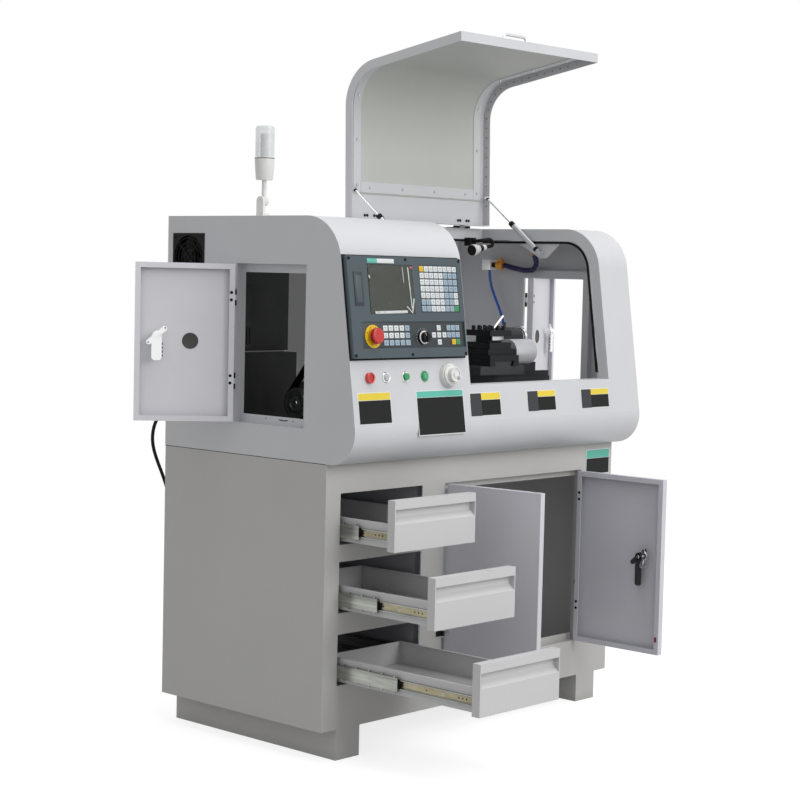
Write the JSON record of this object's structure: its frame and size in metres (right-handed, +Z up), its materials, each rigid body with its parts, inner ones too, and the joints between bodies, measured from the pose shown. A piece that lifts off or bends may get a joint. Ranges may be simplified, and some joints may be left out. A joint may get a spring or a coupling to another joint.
{
  "type": "benchtop cnc lathe",
  "caption": "Enclosed CNC lathe on a cabinet stand, with a curved window lid on gas struts, a control panel, pulled-out drawers and open service and cupboard doors.",
  "frame": {"origin": "bottom centre of the bounding box, on the floor", "axes": "+X to the right along the front, +Y to the back, +Z up"},
  "size_m": [1.6466, 1.2628, 1.8846],
  "materials": {
    "machine_grey": "satin",
    "light_grey": "satin",
    "door_grey": "satin",
    "inner_grey": "satin",
    "galvanised": "satin",
    "steel": "satin",
    "chrome": "polished",
    "cast_iron": "machined",
    "aluminium": "satin",
    "black_plastic": "matte",
    "white_plastic": "satin",
    "slate_plastic": "satin",
    "key_plastic": "satin",
    "red_plastic": "gloss",
    "green_plastic": "gloss",
    "clear_window": "clear",
    "screen_glass": "gloss",
    "blue_tube": "satin",
    "cord_rubber": "matte"
  },
  "bodies": {
    "frame": {"stand_side_panels": "machine_grey", "stand_front_frame": "machine_grey", "stand_inner_panels": "inner_grey", "stand_plinths": "machine_grey", "back_panels": "machine_grey", "drawer_outer_rails": "galvanised", "hinge_leaves": "steel", "enclosure_left_panel": "machine_grey", "enclosure_right_panel": "machine_grey", "enclosure_front_and_roof": "light_grey", "enclosure_inner_panels": "inner_grey", "fan_frame": "black_plastic", "controller_housing": "slate_plastic", "controller_screen": "screen_glass", "controller_keys": "key_plastic", "control_rings": "black_plastic", "signal_lamp_foot": "black_plastic", "lathe_bed": "cast_iron", "headstock": "cast_iron", "work_light": "black_plastic", "coolant_fittings": "black_plastic", "coolant_tube": "blue_tube", "electrics": "galvanised", "mains_cord": "cord_rubber", "mains_cord_coil": "cord_rubber", "mains_plug": "black_plastic"},
    "lid": {"lid_frame": "light_grey", "lid_window": "clear_window", "lid_clamp_strips": "machine_grey", "lid_handle": "chrome"},
    "drawer_1": {"drawer_1": "light_grey"},
    "drawer_2": {"drawer_2": "light_grey"},
    "drawer_3": {"drawer_3": "light_grey"},
    "drawer_1_middle_rails": {"drawer_1_middle_rails": "galvanised"},
    "drawer_2_middle_rails": {"drawer_2_middle_rails": "galvanised"},
    "drawer_3_middle_rails": {"drawer_3_middle_rails": "galvanised"},
    "cupboard_left_door": {"cupboard_left_door": "door_grey"},
    "cupboard_right_door": {"cupboard_right_door": "door_grey"},
    "cupboard_lock_cam": {"cupboard_lock_cam": "steel"},
    "cupboard_door_bolt": {"cupboard_door_bolt": "steel"},
    "left_service_door": {"left_service_door": "machine_grey"},
    "left_service_lock": {"left_service_lock": "chrome"},
    "right_service_door": {"right_service_door": "machine_grey"},
    "right_service_lock": {"right_service_lock": "chrome"},
    "fan_rotor": {"fan_rotor": "black_plastic"},
    "strut_cylinders": {"strut_cylinders": "black_plastic"},
    "strut_rods": {"strut_rods": "chrome"},
    "emergency_stop_head": {"emergency_stop_head": "red_plastic"},
    "feed_override_knob": {"feed_override_knob": "black_plastic"},
    "red_button": {"red_button": "red_plastic"},
    "green_button": {"green_button": "green_plastic"},
    "pulse_handwheel": {"pulse_handwheel": "white_plastic"},
    "signal_lamp_head": {"signal_lamp_head": "white_plastic"},
    "spindle": {"spindle": "steel"},
    "carriage": {"carriage": "cast_iron"},
    "cross_slide": {"cross_slide": "aluminium"},
    "turret_head": {"turret_head": "steel"},
    "tailstock": {"tailstock": "cast_iron"},
    "tailstock_quill": {"tailstock_quill": "steel"},
    "tailstock_handwheel": {"tailstock_handwheel": "chrome"}
  },
  "joints": [
    {"name": "lid_hinge", "type": "hinge", "parent": "frame", "child": "lid", "pos_m": [0.13918, 0.3095, 1.3715], "axis": [1, 0, 0], "range_deg": [0, 91.5]},
    {"name": "strut_pivot", "type": "hinge", "parent": "frame", "child": "strut_cylinders", "pos_m": [0.13918, 0.0795, 1.3], "axis": [1, 0, 0], "range_deg": [-21.05, 1]},
    {"name": "strut_rod_slide", "type": "slide", "parent": "strut_cylinders", "child": "strut_rods", "axis": [0, 0.7899, 0.6132], "range_m": [-0.11306, 0.001]},
    {"name": "left_service_hinge", "type": "hinge", "parent": "frame", "child": "left_service_door", "pos_m": [-0.60862, 0.2515, 1.05], "axis": [0, 0, 1], "range_deg": [-20, 128.3]},
    {"name": "right_service_hinge", "type": "hinge", "parent": "frame", "child": "right_service_door", "pos_m": [0.57898, 0.2515, 1.05], "axis": [0, 0, 1], "range_deg": [-113, 20]},
    {"name": "left_service_lock_turn", "type": "hinge", "parent": "left_service_door", "child": "left_service_lock", "pos_m": [-0.76824, 0.37208, 1.058], "axis": [-0.6198, -0.7848, 0], "range_deg": [-90, 0]},
    {"name": "right_service_lock_turn", "type": "hinge", "parent": "right_service_door", "child": "right_service_lock", "pos_m": [0.76476, 0.32569, 1.058], "axis": [0.3907, -0.9205, 0], "range_deg": [0, 90]},
    {"name": "cupboard_left_hinge", "type": "hinge", "parent": "frame", "child": "cupboard_left_door", "pos_m": [-0.15832, -0.0948, 0.43], "axis": [0, 0, 1], "range_deg": [-15, 84.1]},
    {"name": "cupboard_right_hinge", "type": "hinge", "parent": "frame", "child": "cupboard_right_door", "pos_m": [0.43168, -0.0948, 0.43], "axis": [0, 0, 1], "range_deg": [-91, 20]},
    {"name": "cupboard_lock_turn", "type": "hinge", "parent": "cupboard_right_door", "child": "cupboard_lock_cam", "pos_m": [0.43126, -0.31684, 0.455], "axis": [-0.9998, -0.0175, 0], "range_deg": [0, 90]},
    {"name": "cupboard_bolt_slide", "type": "slide", "parent": "cupboard_left_door", "child": "cupboard_door_bolt", "axis": [0, 0, 1], "range_m": [0, 0.012]},
    {"name": "drawer_1_slide", "type": "slide", "parent": "frame", "child": "drawer_1", "axis": [0, 1, 0], "range_m": [-0.305, 0.185]},
    {"name": "drawer_1_middle_rail_slide", "type": "slide", "parent": "frame", "child": "drawer_1_middle_rails", "axis": [0, 1, 0], "range_m": [-0.1535, 0.0935]},
    {"name": "drawer_2_slide", "type": "slide", "parent": "frame", "child": "drawer_2", "axis": [0, 1, 0], "range_m": [-0.168, 0.322]},
    {"name": "drawer_2_middle_rail_slide", "type": "slide", "parent": "frame", "child": "drawer_2_middle_rails", "axis": [0, 1, 0], "range_m": [-0.085, 0.162]},
    {"name": "drawer_3_slide", "type": "slide", "parent": "frame", "child": "drawer_3", "axis": [0, 1, 0], "range_m": [-0.02, 0.47]},
    {"name": "drawer_3_middle_rail_slide", "type": "slide", "parent": "frame", "child": "drawer_3_middle_rails", "axis": [0, 1, 0], "range_m": [-0.011, 0.236]},
    {"name": "emergency_stop_press", "type": "slide", "parent": "frame", "child": "emergency_stop_head", "axis": [0, 0.9897, -0.1432], "range_m": [0, 0.005], "stiffness_N_per_m": 1500, "springref_m": -0.001},
    {"name": "red_button_press", "type": "slide", "parent": "frame", "child": "red_button", "axis": [0, 0.9897, -0.1432], "range_m": [0, 0.004], "stiffness_N_per_m": 700, "springref_m": -0.001},
    {"name": "green_button_press", "type": "slide", "parent": "frame", "child": "green_button", "axis": [0, 0.9897, -0.1432], "range_m": [0, 0.004], "stiffness_N_per_m": 700, "springref_m": -0.001},
    {"name": "feed_knob_turn", "type": "hinge", "parent": "frame", "child": "feed_override_knob", "pos_m": [-0.34432, -0.1542, 1.067], "axis": [0, -0.9897, 0.1432], "range_deg": [-135, 135]},
    {"name": "pulse_wheel_turn", "type": "hinge", "parent": "frame", "child": "pulse_handwheel", "pos_m": [-0.24832, -0.16823, 0.97], "axis": [0, -0.9897, 0.1432], "continuous": true},
    {"name": "signal_lamp_fold", "type": "hinge", "parent": "frame", "child": "signal_lamp_head", "pos_m": [-0.45432, 0.3155, 1.412], "axis": [1, 0, 0], "range_deg": [-90, 0]},
    {"name": "fan_turn", "type": "hinge", "parent": "frame", "child": "fan_rotor", "pos_m": [-0.59432, 0.442, 1.2595], "axis": [1, 0, 0], "continuous": true},
    {"name": "spindle_turn", "type": "hinge", "parent": "frame", "child": "spindle", "pos_m": [-0.27932, 0.1495, 1.052], "axis": [1, 0, 0], "continuous": true},
    {"name": "carriage_slide", "type": "slide", "parent": "frame", "child": "carriage", "axis": [1, 0, 0], "range_m": [-0.1, 0.05]},
    {"name": "cross_slide_travel", "type": "slide", "parent": "carriage", "child": "cross_slide", "axis": [0, 1, 0], "range_m": [-0.05, 0.02]},
    {"name": "turret_index", "type": "hinge", "parent": "cross_slide", "child": "turret_head", "pos_m": [0.14068, 0.0275, 1.026], "axis": [0, 0, 1], "continuous": true},
    {"name": "tailstock_slide", "type": "slide", "parent": "frame", "child": "tailstock", "axis": [1, 0, 0], "range_m": [-0.03, 0.04]},
    {"name": "tailstock_wheel_turn", "type": "hinge", "parent": "tailstock", "child": "tailstock_handwheel", "pos_m": [0.37068, 0.1495, 1.052], "axis": [1, 0, 0], "range_deg": [0, 4320]},
    {"name": "quill_slide", "type": "slide", "parent": "tailstock", "child": "tailstock_quill", "axis": [1, 0, 0], "range_m": [-0.025, 0.001]}
  ],
  "couplings": [
    {"joint": "strut_pivot", "follows": "lid_hinge", "ratio": -0.21917},
    {"joint": "strut_rod_slide", "follows": "lid_hinge", "m_per_rad": -0.070173},
    {"joint": "drawer_1_middle_rail_slide", "follows": "drawer_1_slide", "ratio": 0.5},
    {"joint": "drawer_2_middle_rail_slide", "follows": "drawer_2_slide", "ratio": 0.5},
    {"joint": "drawer_3_middle_rail_slide", "follows": "drawer_3_slide", "ratio": 0.5},
    {"joint": "quill_slide", "follows": "tailstock_wheel_turn", "m_per_rad": -0.00031831}
  ]
}
